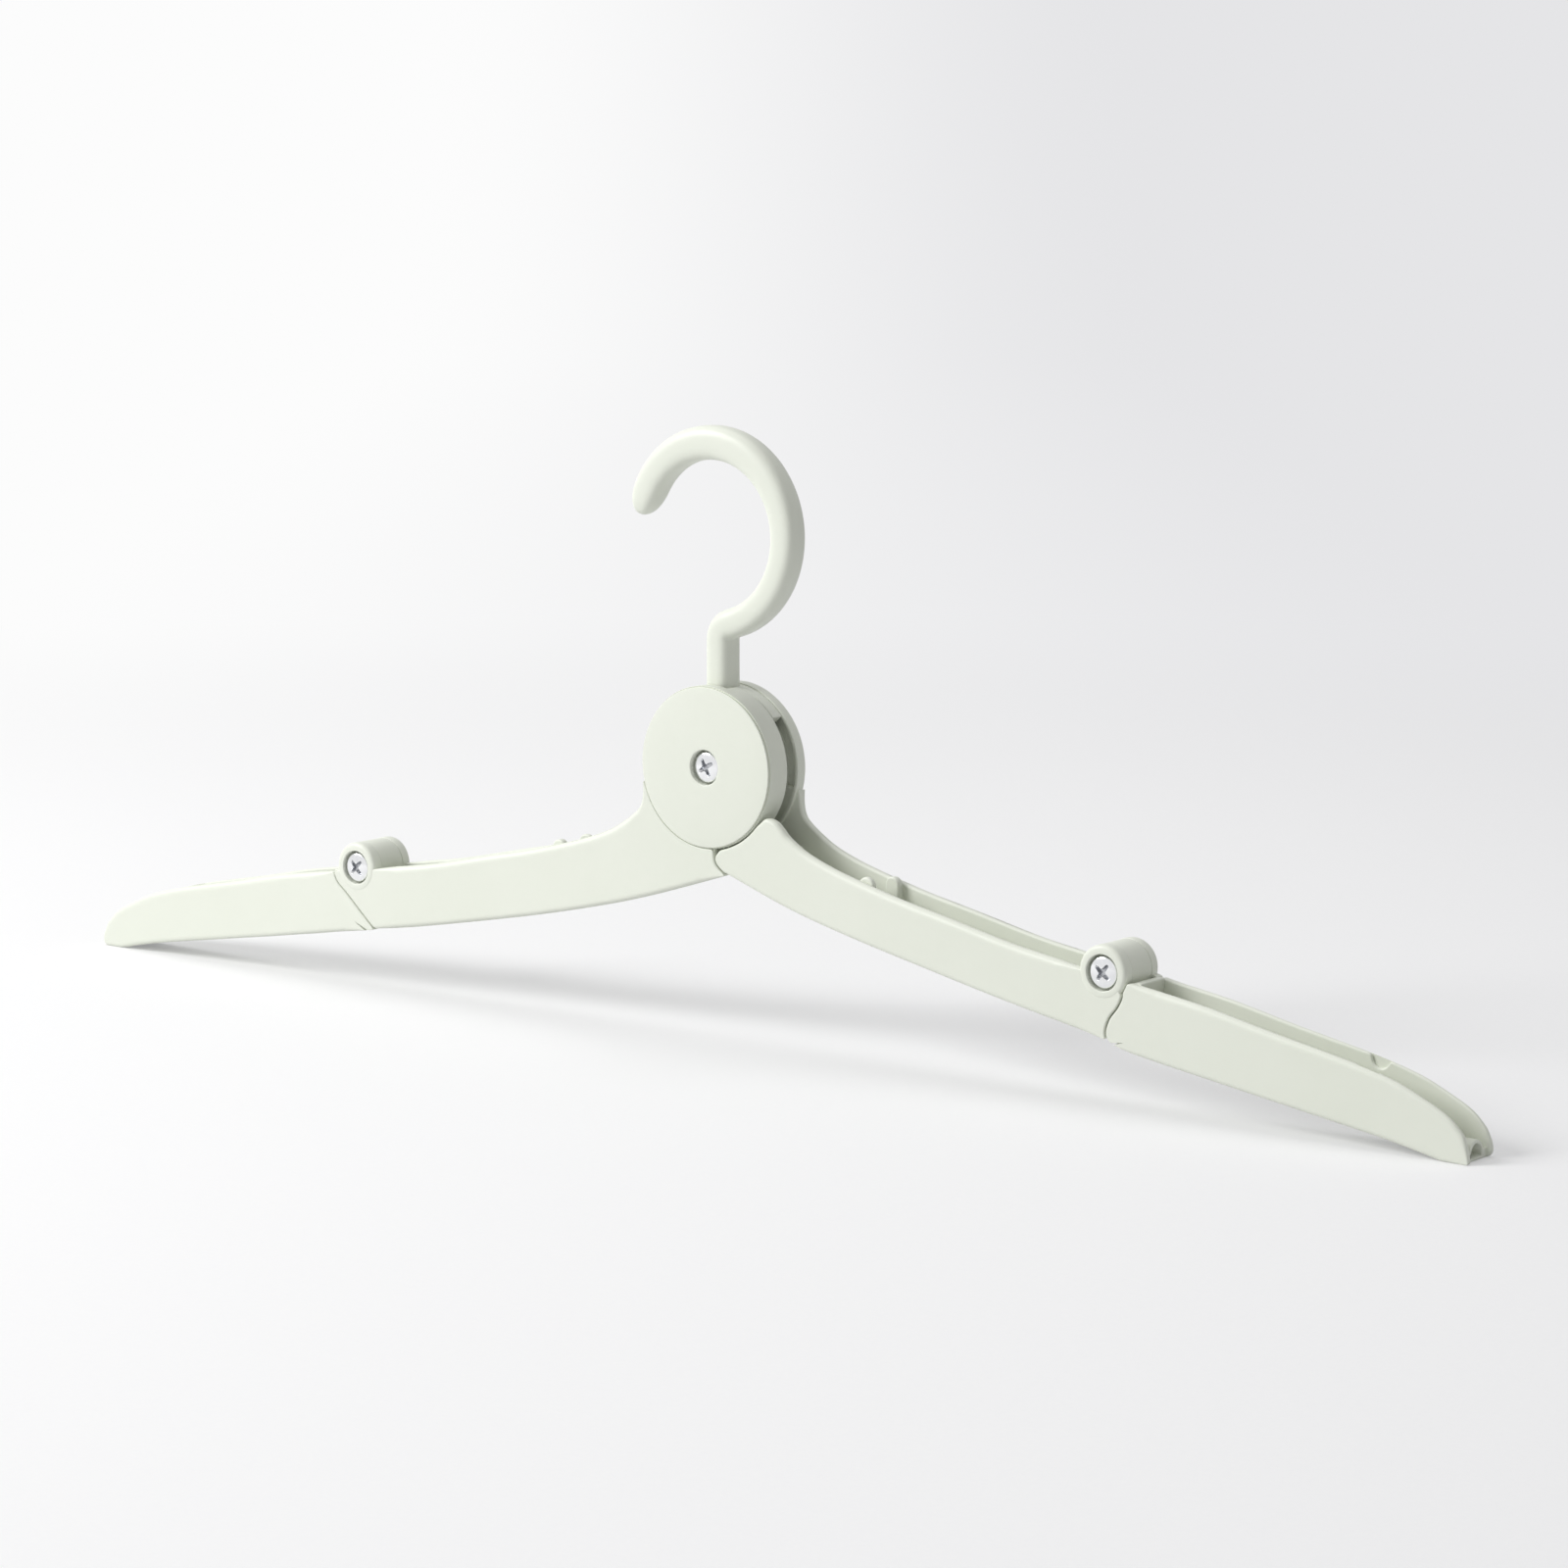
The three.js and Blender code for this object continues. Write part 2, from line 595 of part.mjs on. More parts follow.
// The nut's sleeve passes through both mouldings and ends short of the screw's head
function barrelNut(sleeve, seat) {
  const end = 2 * fitGap - seat;
  const bore = drum(hub, sleeve - sleeveWall, end - cutOver, seat - fitGap, 32);
  return fastener(sleeve, end, seat).subtract(bore);
}

// The screw faces the nut from the front, with a shank inside the sleeve's bore
function screw(sleeve, seat) {
  return fastener(sleeve - sleeveWall - shankGap, 2 * fitGap - seat, seat).mirror([0, 1, 0]);
}

function frictionWasher() {
  const front = discBack - fitGap - washerThickness;
  return drum(hub, washerRadius, front, front + washerThickness)
    .subtract(drum(hub, hubSleeve + 2 * fitGap, 0, discBack, 32));
}

const plastic = { color: 0xe4e9dd, roughness: 0.42, metalness: 0 };
const chrome = { color: 0xc9cacb, roughness: 0.22, metalness: 1 };
const nylon = { color: 0xf1f0ea, roughness: 0.5, metalness: 0 };

function piece(name, body, look) {
  const mesh = new THREE.Mesh(geometryOf(body), new THREE.MeshStandardMaterial(look));
  mesh.name = name;
  return mesh;
}

// All pieces stand around the hub axis; the left arms are the right ones turned half round
const aroundHub = new THREE.Group();
aroundHub.position.z = -railSeatHeight;
const turned = new THREE.Group();
turned.rotation.z = Math.PI;
aroundHub.add(turned);

const inner = innerArm();
const outer = outerArm();
const washer = frictionWasher();
aroundHub.add(
  piece('hook', hookBody(), plastic),
  piece('right_inner_arm', inner, plastic),
  piece('right_outer_arm', outer, plastic),
  piece('rear_friction_washer', washer, nylon),
);
turned.add(
  piece('left_inner_arm', inner, plastic),
  piece('left_outer_arm', outer, plastic),
  piece('front_friction_washer', washer, nylon),
);

// A screw and its barrel nut at each of the three pivots
function addPivot(name, place, sleeve, crown, recess) {
  const seat = crown - recess + fitGap;
  const pair = [
    piece(name + '_screw', screw(sleeve, seat), chrome),
    piece(name + '_barrel_nut', barrelNut(sleeve, seat), chrome),
  ];
  pair.forEach((mesh) => mesh.position.set(place.x, 0, place.y));
  aroundHub.add(...pair);
}

addPivot('hub', hub, hubSleeve, discCrown, hubRecess);
addPivot('right_elbow', elbow, elbowSleeve, earCrown, elbowRecess);
addPivot('left_elbow', new THREE.Vector2(-elbow.x, elbow.y), elbowSleeve, earCrown, elbowRecess);

const hanger = new THREE.Group();
hanger.name = 'folding_travel_hanger';
hanger.add(aroundHub);

export default hanger;
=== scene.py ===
from math import acos, asin, atan2, degrees, pi, radians, sin

import bmesh
import bpy
import numpy as np
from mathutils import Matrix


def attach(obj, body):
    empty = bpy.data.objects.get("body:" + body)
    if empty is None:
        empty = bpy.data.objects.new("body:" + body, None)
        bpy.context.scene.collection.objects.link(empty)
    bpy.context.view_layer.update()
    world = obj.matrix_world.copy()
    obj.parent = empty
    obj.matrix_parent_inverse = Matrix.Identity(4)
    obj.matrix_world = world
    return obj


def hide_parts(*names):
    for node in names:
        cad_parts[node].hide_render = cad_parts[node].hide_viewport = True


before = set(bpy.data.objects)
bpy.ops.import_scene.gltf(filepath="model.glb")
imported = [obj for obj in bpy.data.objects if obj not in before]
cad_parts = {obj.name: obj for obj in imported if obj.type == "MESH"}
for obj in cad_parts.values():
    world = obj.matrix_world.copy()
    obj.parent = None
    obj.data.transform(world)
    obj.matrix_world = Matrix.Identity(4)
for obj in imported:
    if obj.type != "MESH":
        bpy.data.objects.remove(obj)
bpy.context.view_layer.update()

# Hook
# One moulding of pale satin plastic: a rod of rounded square section bent to an open loop on a short
# stem. The stem's flattened foot and its eye turn on the hub screw between the two discs, and two thin
# flanges beside it close the slit between the discs. Sizes are in millimetres around the hub axis.
hub_height = -72.588  # of the hub axis, from the place where the rail bears
disc_radius = 19.4
seam_gap = 0.4
stem_half = 3.5
rod_depth_half = 3.5
squareness = 2.9  # of the rod's section, where 2 is an ellipse
loop_half = 3.78  # of the rod on the loop, from its middle line outwards
loop_inner_half = 4.4  # from the middle line inwards, at the top of the loop
end_inner_half = 4.1
loop_radius = 21.7  # to the middle line
loop_centre = (-2.4, 54.9)
bend_radius = 4.2
loop_end = 171.8  # degrees around the loop's centre
nose_length = 8.6
nose_drift = 0.5
foot_low = 8.5
foot_high = 15
foot_half = 2.8  # of the foot's depth
hub_bore = 3
eye_radius = 9.4
washer_seat_radius = 8
washer_seat_half = 1.9
flange_radius = 19.15
flange_from = 40  # degrees around the hub


def arc(centre, radius, first, last, steps):
    """Points on a circle: the centre plus the radius times (cos, sin) of angles at even steps."""
    angle = np.radians(np.linspace(first, last, steps + 1))
    return np.column_stack([centre[0] + radius * np.cos(angle), centre[1] + radius * np.sin(angle)])


def along(points, distances):
    """Places on a run of points at the given distances from its start, straight between two points."""
    steps = np.hypot(*np.diff(points, axis=0).T)
    walked = np.concatenate([[0], np.cumsum(steps)])
    return np.column_stack([np.interp(distances, walked, column) for column in points.T])


class Moulding:
    """The closed skins of one piece, in millimetres around the hub axis, gathered into one mesh."""

    def __init__(self):
        self.points, self.faces, self.count = [], [], 0

    def skin(self, grid, ring=False):
        """Rows x columns x 3 made a closed skin: each face joins two rows and two columns. The columns
        close on themselves. So do the rows of a ring; otherwise a flat face closes each end row."""
        rows, columns = grid.shape[:2]
        number = self.count + np.arange(rows * columns).reshape(rows, columns)
        if ring:
            number = np.vstack([number, number[:1]])
        else:
            self.faces += [number[0].tolist(), number[-1].tolist()]
        beside = np.roll(number, -1, axis=1)
        squares = np.stack([number[:-1], number[1:], beside[1:], beside[:-1]], axis=-1)
        self.faces += squares.reshape(-1, 4).tolist()
        self.points.append(grid.reshape(-1, 3))
        self.count += rows * columns

    def made(self, name, half_turn=False, sharp=40):
        """The object: every point moved to the hub axis and from millimetres to metres, for a piece on
        the left after half a turn round the upright axis. All faces are turned outwards, and only those
        with four corners are smooth."""
        points = np.concatenate(self.points) * ((-1, -1, 1) if half_turn else (1, 1, 1))
        mesh = bpy.data.meshes.new(name)
        mesh.from_pydata(((points + (0, 0, hub_height)) / 1000).tolist(), [], self.faces)
        loose = bmesh.new()
        loose.from_mesh(mesh)
        bmesh.ops.recalc_face_normals(loose, faces=loose.faces)
        loose.to_mesh(mesh)
        loose.free()
        mesh.shade_smooth()
        mesh.set_sharp_from_angle(angle=radians(sharp))
        mesh.polygons.foreach_set("use_smooth", [len(face) == 4 for face in self.faces])
        piece = bpy.data.objects.new(name, mesh)
        bpy.context.collection.objects.link(piece)
        return piece


def softened(runs, softness=0.55, spacing=0.4):
    """Closed outline from runs of points, each with the widths of its rounded edges on the outer and the
    inner face. Places at even steps along it are blurred along the way by a bell curve, which turns its
    corners round."""
    joined = np.vstack([np.column_stack([points, np.broadcast_to(widths, (len(points), 2))])
                        for points, widths in runs])
    closed = np.vstack([joined, joined[:1]])
    walked = np.concatenate([[0], np.cumsum(np.hypot(*np.diff(closed[:, :2], axis=0).T))])
    count = int(walked[-1] / spacing)
    even = np.linspace(0, walked[-1], count, endpoint=False)
    sampled = np.column_stack([np.interp(even, walked, column) for column in closed.T])
    waves = np.fft.rfftfreq(count, walked[-1] / count)
    bell = np.exp(-2 * (pi * softness * waves) ** 2)
    return np.fft.irfft(np.fft.rfft(sampled, axis=0) * bell[:, None], count, axis=0)


def plate(outline, inner, outer, outer_round=0.3, inner_round=0.3, steps=6):
    """Skin of a plate between two depths. Row by row the outline moves inwards by w (1 - cos t) while
    its depth nears the face by d (1 - sin t), which is a quarter round w wide and d deep. The width w is
    the outline's own, but never more than the room beside an outer corner of radius r: 0.5 r, or
    0.5 r r / 1.2 where r is under 1.2, plus 0.26 of the way to the corner. The depth d is never more than
    w. A last row lies flat on each face."""
    place = outline[:, :2]
    ahead, behind = np.roll(place, -1, axis=0), np.roll(place, 1, axis=0)
    way = ahead - behind
    way /= np.hypot(*way.T)[:, None]
    area = np.sum(place[:, 0] * ahead[:, 1] - ahead[:, 0] * place[:, 1])
    inwards = np.column_stack([-way[:, 1], way[:, 0]]) * np.sign(area)
    first, second = place - behind, ahead - place
    bend = (first[:, 0] * second[:, 1] - first[:, 1] * second[:, 0]) * np.sign(area)
    curvature = bend / np.hypot(*first.T) / np.hypot(*second.T) / np.hypot(*second.T)
    radius = 1 / np.maximum(curvature, 1e-3)
    room = 0.5 * radius * np.minimum(1, radius / 1.2)
    step = 0.26 * np.hypot(*second.T).mean()
    for _ in range(16):
        room = np.minimum(room, step + np.minimum(np.roll(room, 1), np.roll(room, -1)))
    wide, slim = (1 / np.sqrt(1 / np.maximum(width, 0.01) ** 2 + 1 / room**2) for width in outline[:, 2:].T)
    t = np.linspace(0, pi / 2, steps)[:, None]
    side = np.sign(outer - inner)
    moved = np.vstack([1.25 * slim, (1 - np.cos(t[::-1])) * slim, (1 - np.cos(t)) * wide, 1.25 * wide])
    depth = np.vstack([
        inner + 0 * slim, inner + side * np.minimum(slim, inner_round) * (1 - np.sin(t[::-1])),
        outer - side * np.minimum(wide, outer_round) * (1 - np.sin(t)), outer + 0 * wide,
    ])
    flat = place + moved[:, :, None] * inwards
    return np.stack([flat[..., 0], depth, flat[..., 1]], axis=-1)


def eased(corners, eases, steps=6):
    """Closed profile with rounded corners: near each corner the curve (1-t)^2 a + 2t(1-t) corner + t^2 b
    between the places a and b that lie its ease away from it on its two sides."""
    corners = np.asarray(corners, float)
    to_last, to_next = np.roll(corners, 1, axis=0) - corners, np.roll(corners, -1, axis=0) - corners
    ease = np.asarray(eases, float)[:, None]
    a = corners + to_last * ease / np.hypot(*to_last.T)[:, None]
    b = corners + to_next * ease / np.hypot(*to_next.T)[:, None]
    t = np.linspace(0, 1, steps)[None, :, None]
    curve = (1 - t) ** 2 * a[:, None] + 2 * t * (1 - t) * corners[:, None] + t**2 * b[:, None]
    return curve.reshape(-1, 2)


def turned(profile, centre, sides=96):
    """Skin of a profile of (radius, depth) turned round an axis along the depth: the centre plus the
    radius times (cos, sin) of each angle."""
    angle = np.linspace(0, 2 * pi, sides, endpoint=False)
    radius, depth = profile[:, :1], profile[:, 1:]
    return np.stack([centre[0] + radius * np.cos(angle), depth + 0 * angle,
                     centre[1] + radius * np.sin(angle)], axis=-1)


def hook_rod():
    """The rod: rounded squares, |x / a|^n + |y / b|^n = 1, round a middle line of straight stem, small
    bend and large loop. On the loop it is wider towards the inside. It ends in a round nose, shrunk by
    (1 - u^2.5)^0.46, whose middle drifts to the outside of the loop as u^2. The foot is cut flat."""
    shift = bend_radius - loop_centre[0]
    turn = acos(shift / (loop_radius + bend_radius))
    bend_height = loop_centre[1] - (loop_radius + bend_radius) * sin(turn)
    middle = np.vstack([
        [[0, foot_low]], arc((bend_radius, bend_height), bend_radius, 180, 180 - degrees(turn), 24),
        arc(loop_centre, loop_radius, -degrees(turn), loop_end, 180)[1:],
    ])
    length = np.hypot(*np.diff(middle, axis=0).T).sum()
    u = np.sin(np.linspace(0, 0.4999 * pi, 20))
    nose = slice(-len(u), None)
    nose_start = length - nose_length
    distance = np.concatenate([np.linspace(0, 6, 8), np.linspace(6.3, 7.3, 8),
                               np.linspace(7.8, nose_start, 200)[:-1], nose_start + nose_length * u])
    bend_start = bend_height - foot_low
    loop_right = bend_start + (bend_radius + loop_radius) * turn
    places = [bend_start, loop_right, loop_right + loop_radius * pi / 2, length]
    outer = np.interp(distance, places, [stem_half, 3.75, loop_half, loop_half])
    inner = np.interp(distance, places, [stem_half, 3.75, loop_inner_half, end_inner_half])
    share, drift = np.ones(len(distance)), np.zeros(len(distance))
    share[nose], drift[nose] = (1 - u**2.5) ** 0.46, nose_drift * u**2
    even = np.linspace(0, length, 500)
    way = np.gradient(along(middle, even), axis=0)
    way = np.column_stack([np.interp(distance, even, column) for column in way.T])
    way /= np.hypot(*way.T)[:, None]
    outside = np.column_stack([way[:, 1], -way[:, 0]])
    angle = np.linspace(0, 2 * pi, 64, endpoint=False)
    across, up = (np.sign(wave) * np.abs(wave) ** (2 / squareness)
                  for wave in (np.cos(angle), np.sin(angle)))
    half_width = np.where(across > 0, outer[:, None], inner[:, None])
    sideways = drift[:, None] + share[:, None] * half_width * across
    flat = along(middle, distance)[:, None] + sideways[:, :, None] * outside[:, None]
    foot = foot_high - foot_low
    cut = np.interp(distance, [foot, foot + 0.6], [foot_half, rod_depth_half + 0.1])[:, None]
    depth = np.clip(rod_depth_half * share[:, None] * up, -cut, cut)
    return np.stack([flat[..., 0], depth, flat[..., 1]], axis=-1)


hook = Moulding()
hook.skin(hook_rod())
half_eye = [(hub_bore, washer_seat_half), (washer_seat_radius, washer_seat_half),
            (washer_seat_radius, foot_half), (eye_radius, foot_half)]
half_eases = [0.2, 0.1, 0.15, 0.2]
eye = eased([(radius, -depth) for radius, depth in half_eye] + half_eye[::-1], half_eases + half_eases[::-1])
hook.skin(turned(eye, (0, 0)), ring=True)
# Each flange is a sheet beside the eye and a thicker rim outside it: inner radius, near and far depth.
for inner_radius, near, far in ((9.1, 0.35, 2.79), (15.5, 2.4, 3.8)):
    flange = np.vstack([arc((0, 0), flange_radius, flange_from, 90, 40),
                        arc((0, 0), inner_radius, 90, flange_from, 20)])
    for side in (1, -1):
        hook.skin(plate(softened([(flange, 0.25)], 0.25), near, far, 0.25, 0.25) * (side, side, 1))


def linear(red, green, blue):
    """A screen colour of 0 to 255 as linear light: ((c + 0.055) / 1.055)^2.4."""
    return tuple(((value / 255 + 0.055) / 1.055) ** 2.4 for value in (red, green, blue)) + (1,)


class Value:
    """A socket in an expression: each operator on it adds its Math node."""

    def __init__(self, finish, socket):
        self.finish, self.socket = finish, socket

    def math(self, operation, first, second=0.0):
        return self.finish.node("Math", {"operation": operation}, {0: first, 1: second})

    def __add__(self, other):
        return self.math("ADD", self, other)

    def __mul__(self, other):
        return self.math("MULTIPLY", self, other)

    __radd__, __rmul__ = __add__, __mul__


class Finish:
    """A material whose nodes are added one by one: the settings of each first, then its sockets."""

    def __init__(self, name, kept_in=bpy.data.materials):
        self.material = kept_in.new(name)
        self.material.use_nodes = True
        self.tree = self.material.node_tree
        self.tree.nodes.clear()

    def node(self, kind, settings=None, sockets=None, output=0):
        """A node of this kind, with its settings and the values or links of its sockets."""
        node = self.tree.nodes.new("ShaderNode" + kind)
        for name, value in (settings or {}).items():
            setattr(node, name, value)
        for name, value in (sockets or {}).items():
            if isinstance(value, Value):
                self.tree.links.new(value.socket, node.inputs[name])
            else:
                node.inputs[name].default_value = value
        return Value(self, node.outputs[output]) if node.outputs else node

    def noise(self, place, scale, detail=2.0):
        """Noise around 0.5, so many lumps to the metre."""
        return self.node("TexNoise", {}, {"Vector": place, "Scale": scale, "Detail": detail})

    def mixed(self, factor, first, second):
        """The first colour where the factor is 0 and the second where it is 1."""
        return self.node("Mix", {"data_type": "RGBA"}, {0: factor, 6: first, 7: second}, output=2)

    def surface(self, sockets):
        """The shader with these sockets, as the material's surface."""
        shader = self.node("BsdfPrincipled", {}, sockets)
        self.node("OutputMaterial", {}, {"Surface": shader})


# The plastic is satin from the mould: an even fine grain, broad faint clouds in the colour where the melt
# flowed, and patches a little smoother where hands have rubbed it.
plastic = Finish("satin_pale_plastic")
place = plastic.node("TexCoord", output="Object")
clouds = plastic.noise(place, 26, 3)
rubbed = plastic.noise(place, 95, 4)
grain = plastic.noise(place, 2600, 2)
ripple = plastic.noise(place, 240, 2)
plastic.surface({
    "Base Color": plastic.mixed(clouds, linear(225, 229, 216), linear(233, 236, 225)),
    "Roughness": 0.36 + rubbed * 0.14,
    "IOR": 1.49,
    "Normal": plastic.node("Bump", {}, {
        "Strength": 0.35, "Distance": 0.00004, "Height": grain + ripple * 2.0,
    }),
})


def fitted(piece, finish, body, node):
    """The piece gets its finish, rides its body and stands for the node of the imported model."""
    piece.data.materials.append(finish.material)
    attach(piece, body)
    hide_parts(node)


fitted(hook.made("hook_moulding"), plastic, "hook", "hook")

# Friction washers
# Two thin nylon rings, stamped from sheet, that lie in shallow seats on both sides of the hook's eye
# and keep it stiff between the discs.
nylon = Finish("natural_nylon")
place = nylon.node("TexCoord", output="Object")
milky = nylon.noise(place, 160, 3)
nylon.surface({
    "Base Color": nylon.mixed(milky, linear(226, 224, 214), linear(240, 239, 232)),
    "Roughness": 0.42 + nylon.noise(place, 700) * 0.16,
    "IOR": 1.53,
    "Normal": nylon.node("Bump", {}, {
        "Strength": 0.3, "Distance": 0.00003, "Height": nylon.noise(place, 1900),
    }),
})
washer_bore, washer_radius, washer_near, washer_far = 3.3, 7.6, 2.2, 2.8
washer_section = [(washer_bore, washer_near), (washer_radius, washer_near),
                  (washer_radius, washer_far), (washer_bore, washer_far)]
washer = Moulding()
washer.skin(turned(eased(washer_section, [0.12] * 4, 4), (0, 0)), ring=True)
for position in ("rear", "front"):
    washer_ring = washer.made(position + "_washer_ring", half_turn=position == "front")
    fitted(washer_ring, nylon, "hook", position + "_friction_washer")

# Inner arms
# Each is one moulding: a channel open at the top, with a disc on one wall that turns on the hub screw, a
# horn on the other wall that follows the other arm's disc, a rib, two snap pegs and two round ears at the
# elbow. The left arm is the right one turned half round.
arm_half = 6.8
channel_half = 4.6
edge_depth, inner_edge_depth = 1.15, 0.6  # of a wall's rounded edges, on its outer and inner face
top_edge, end_edge, low_edge = (1.5, 0.6), (1.2, 0.6), (1.2, 0.35)  # their widths on the two faces
sharp = 0.02  # the width of an edge where two layers of a wall meet
layer_lap = 0.05  # how far the layers pass each other
floor_edge = 0.12
groove_floor = 6.1  # of the groove round the disc
disc_back = 3.1
disc_crown = 7.4
hollow_inside, hollow_back = 14.6, 6.0
lip_inside, lip_back = 18.6, 3.9  # of the lip at the disc's edge
rim_inside, rim_back = 17.2, 0.15
rim_span = 138  # degrees around the hub
recess_radius = 4.2  # round a screw head
recess_floor = 4.4  # in the disc
ear_recess_floor = 4.3
inside_ear = 5.2  # radius of the wall's end inside an ear, clear of the recess
elbow = np.array([113.3, -35.85])
elbow_height = 14.8  # from the elbow axis to the underside
ear_radius = 6.3
ear_back = 3.9
elbow_bore = 2.6
post_place, post_half = 48, 1.9  # along the arm
nub_place, nub_radius = 45.6, 2.2
peg_length = 7
reach = elbow[0] - disc_radius
inner_top = [(.05, .4), (.101, .482), (.167, .552), (.253, .62), (.389, .711), (.532, .79),
             (.725, .9), (.859, .958)]
tall_bottom = [(-.02, .912), (.158, 1.035), (.405, 1.177), (.764, 1.353)]
short_bottom = [(.05, .873), (.236, 1.001), (.485, 1.146), (.726, 1.28)]
straight_seam = [(.527, -.122), (.44, -.3), (.21, -.488), (-.143, -.805), (-.404, -1.028)]
curved_seam = [(.37, -.3), (.264, -.51), (.128, -.679), (.054, -.889), (.08, -1.02)]


def smooth(points, steps):
    """A run through the points: between two of them the cubic whose slope at each is half the way from
    the point before it to the point after it."""
    points = np.asarray(points, float)
    t = np.linspace(0, len(points) - 1, steps + 1)
    at = np.minimum(t.astype(int), len(points) - 2)
    w = (t - at)[:, None]
    ends = np.vstack([points[:1], points, points[-1:]])
    a, b, c, d = (ends[at + k] for k in range(4))
    return b + w * ((c - a) / 2 + w * ((2 * a - 5 * b + 4 * c - d) / 2 + w * (3 * b - a - 3 * c + d) / 2))


def beside(points, distance):
    """The run moved sideways, to the left of its direction where the distance is positive."""
    way = np.gradient(points, axis=0)
    way /= np.hypot(*way.T)[:, None]
    return points + distance * np.column_stack([-way[:, 1], way[:, 0]])


def seam_at_elbow(shares, side):
    """The edge beside a seam: from the ear, or from the wall's top outside it, down through places given
    as shares of the elbow's height, then moved half a gap to one side. It runs from the foot up."""
    start = elbow_height * np.array(shares[0])
    start *= max(1, (ear_radius + seam_gap / 2) / np.hypot(*start))
    run = smooth([elbow + start, *(elbow + elbow_height * np.array(shares[1:]))], 14 * (len(shares) - 1))
    return beside(run, side * seam_gap / 2)[::-1], degrees(atan2(start[1], start[0]))


def seam_under_hub(side):
    """The seam under the hub, from the discs' edge down, moved half a gap to one side."""
    shares = np.array([(.129, -1.085), (.134, -1.144), (.186, -1.216), (.304, -1.3)])
    return beside(smooth(shares * disc_radius, 16), side * seam_gap / 2)


def inner_run(shares):
    """Places along the inner arm: R + u (L - R), v Z, where R is the disc's radius, (L, Z) the elbow's
    place and (u, v) the shares."""
    return np.column_stack([disc_radius + reach * np.array(shares)[:, 0], elbow[1] * np.array(shares)[:, 1]])


arm_top = smooth(inner_run(inner_top), 90)


def disc_wall(hub_side):
    """Outline of the tall wall, which ends at a radius around the hub. Inside the ear it keeps clear of
    the screw's recess."""
    edge, angle = seam_at_elbow(straight_seam, -1)
    foot = seam_under_hub(-1) * (-1, 1)
    shoulder = smooth([arm_top[0], *(disc_radius * np.array([(1.04, -.55), (.985, -.2)]))], 12)
    return softened([
        (smooth([foot[-1], *inner_run(tall_bottom), edge[0]], 90), low_edge), (edge[1:-1], 0.3),
        (arc(elbow, inside_ear, angle, -180, 20), 0.3), (arm_top[::-1], top_edge),
        (shoulder[1:-1], end_edge), (arc((0, 0), hub_side, -14, -96, 40)[1:], 0.2), (foot[:-1], 0.5),
    ])


def horn_wall():
    """Outline of the short wall, whose horn bears on nothing and follows the other arm's disc."""
    edge, angle = seam_at_elbow(curved_seam, -1)
    foot = seam_under_hub(1)
    horn = disc_radius * np.array([(1.098, -.592), (1.02, -.553), (.95, -.54), (.894, -.55), (.855, -.585)])
    return softened([
        (smooth([foot[-1], *inner_run(short_bottom), edge[0]], 90), low_edge), (edge[1:-1], 0.3),
        (arc(elbow, inside_ear, angle, -180, 20), 0.3), (arm_top[::-1], top_edge),
        (smooth([arm_top[0], *horn], 24)[1:], (1.3, 0.6)),
        (arc((0, 0), disc_radius + seam_gap, -38, -78, 30)[1:], (0.5, 0.3)), (foot[:-1], 0.5),
    ])


def floor_outline(underside, first, last, thickness=2):
    """A strip of even thickness above the underside, between two places along the arm."""
    x = np.linspace(first, last, 80)
    low = np.column_stack([x, np.interp(x, underside[:, 0], underside[:, 1])])
    return softened([(np.vstack([low, low[::-1] + (0, thickness)]), floor_edge)], 0.12)


def box_outline(left, right, low, high, width=0.3):
    """A rectangle whose corners are slightly rounded."""
    corners = np.array([(left, low), (right, low), (right, high), (left, high)], float)
    return softened([(corners, width)], 0.25, 0.25)


def height_at(run, x):
    """Height of a run at a place along the arm, on the straight line between its nearest points."""
    order = np.argsort(run[:, 0])
    return float(np.interp(x, run[order, 0], run[order, 1]))


def disc():
    """Skin of the disc: its profile turned round the hub axis. The face rises evenly to its crown and a
    fine groove goes round it. Behind the outer ring lies a hollow with a lip, and where a rim closes the
    slit between the discs the lip is thicker and comes forward."""
    rim_start = 90 + degrees(asin((stem_half + seam_gap) / rim_inside))
    limits = np.radians([rim_start, rim_start + rim_span])
    even = np.linspace(0, 2 * pi, 180, endpoint=False)
    angle = np.sort(np.concatenate([even, limits - 1e-4, limits + 1e-4]))
    on_rim = (angle > limits[0]) & (angle < limits[1])
    skins = []
    for lip, back in ((rim_inside, rim_back), (lip_inside, lip_back)):
        behind = [(hub_bore, disc_back), (hollow_inside, disc_back), (hollow_inside + 0.3, hollow_back),
                  (lip, hollow_back), (lip, back), (disc_radius, back)]
        groove = [(disc_radius, 6.62), (19.02, 6.4), (19.08, 7.16)]
        face = [(14.55, 7.33), (7.76, disc_crown), (recess_radius, disc_crown),
                (recess_radius, recess_floor), (hub_bore, recess_floor)]
        skins.append(eased(behind + groove + face,
                           [0.2, 0.1, 0.1, 0.1, 0.1, 0.25, 0.12, 0.05, 0.16, 2.4, 2.4, 0.3, 0.15, 0.15]))
    chosen = np.where(on_rim[None, :, None], skins[0][:, None], skins[1][:, None])
    radius, depth = chosen[..., 0], chosen[..., 1]
    return np.stack([radius * np.cos(angle), depth, radius * np.sin(angle)], axis=-1)


def ear(side):
    """Skin of an ear: a thick ring round the elbow axis with a softly rounded lip and a recess."""
    section = [(elbow_bore, ear_back), (ear_radius, ear_back), (ear_radius, 6.86),
               (recess_radius, 6.97), (recess_radius, ear_recess_floor), (elbow_bore, ear_recess_floor)]
    return turned(eased(section, [0.15, 0.15, 1.1, 0.3, 0.15, 0.15]) * (1, side), elbow)


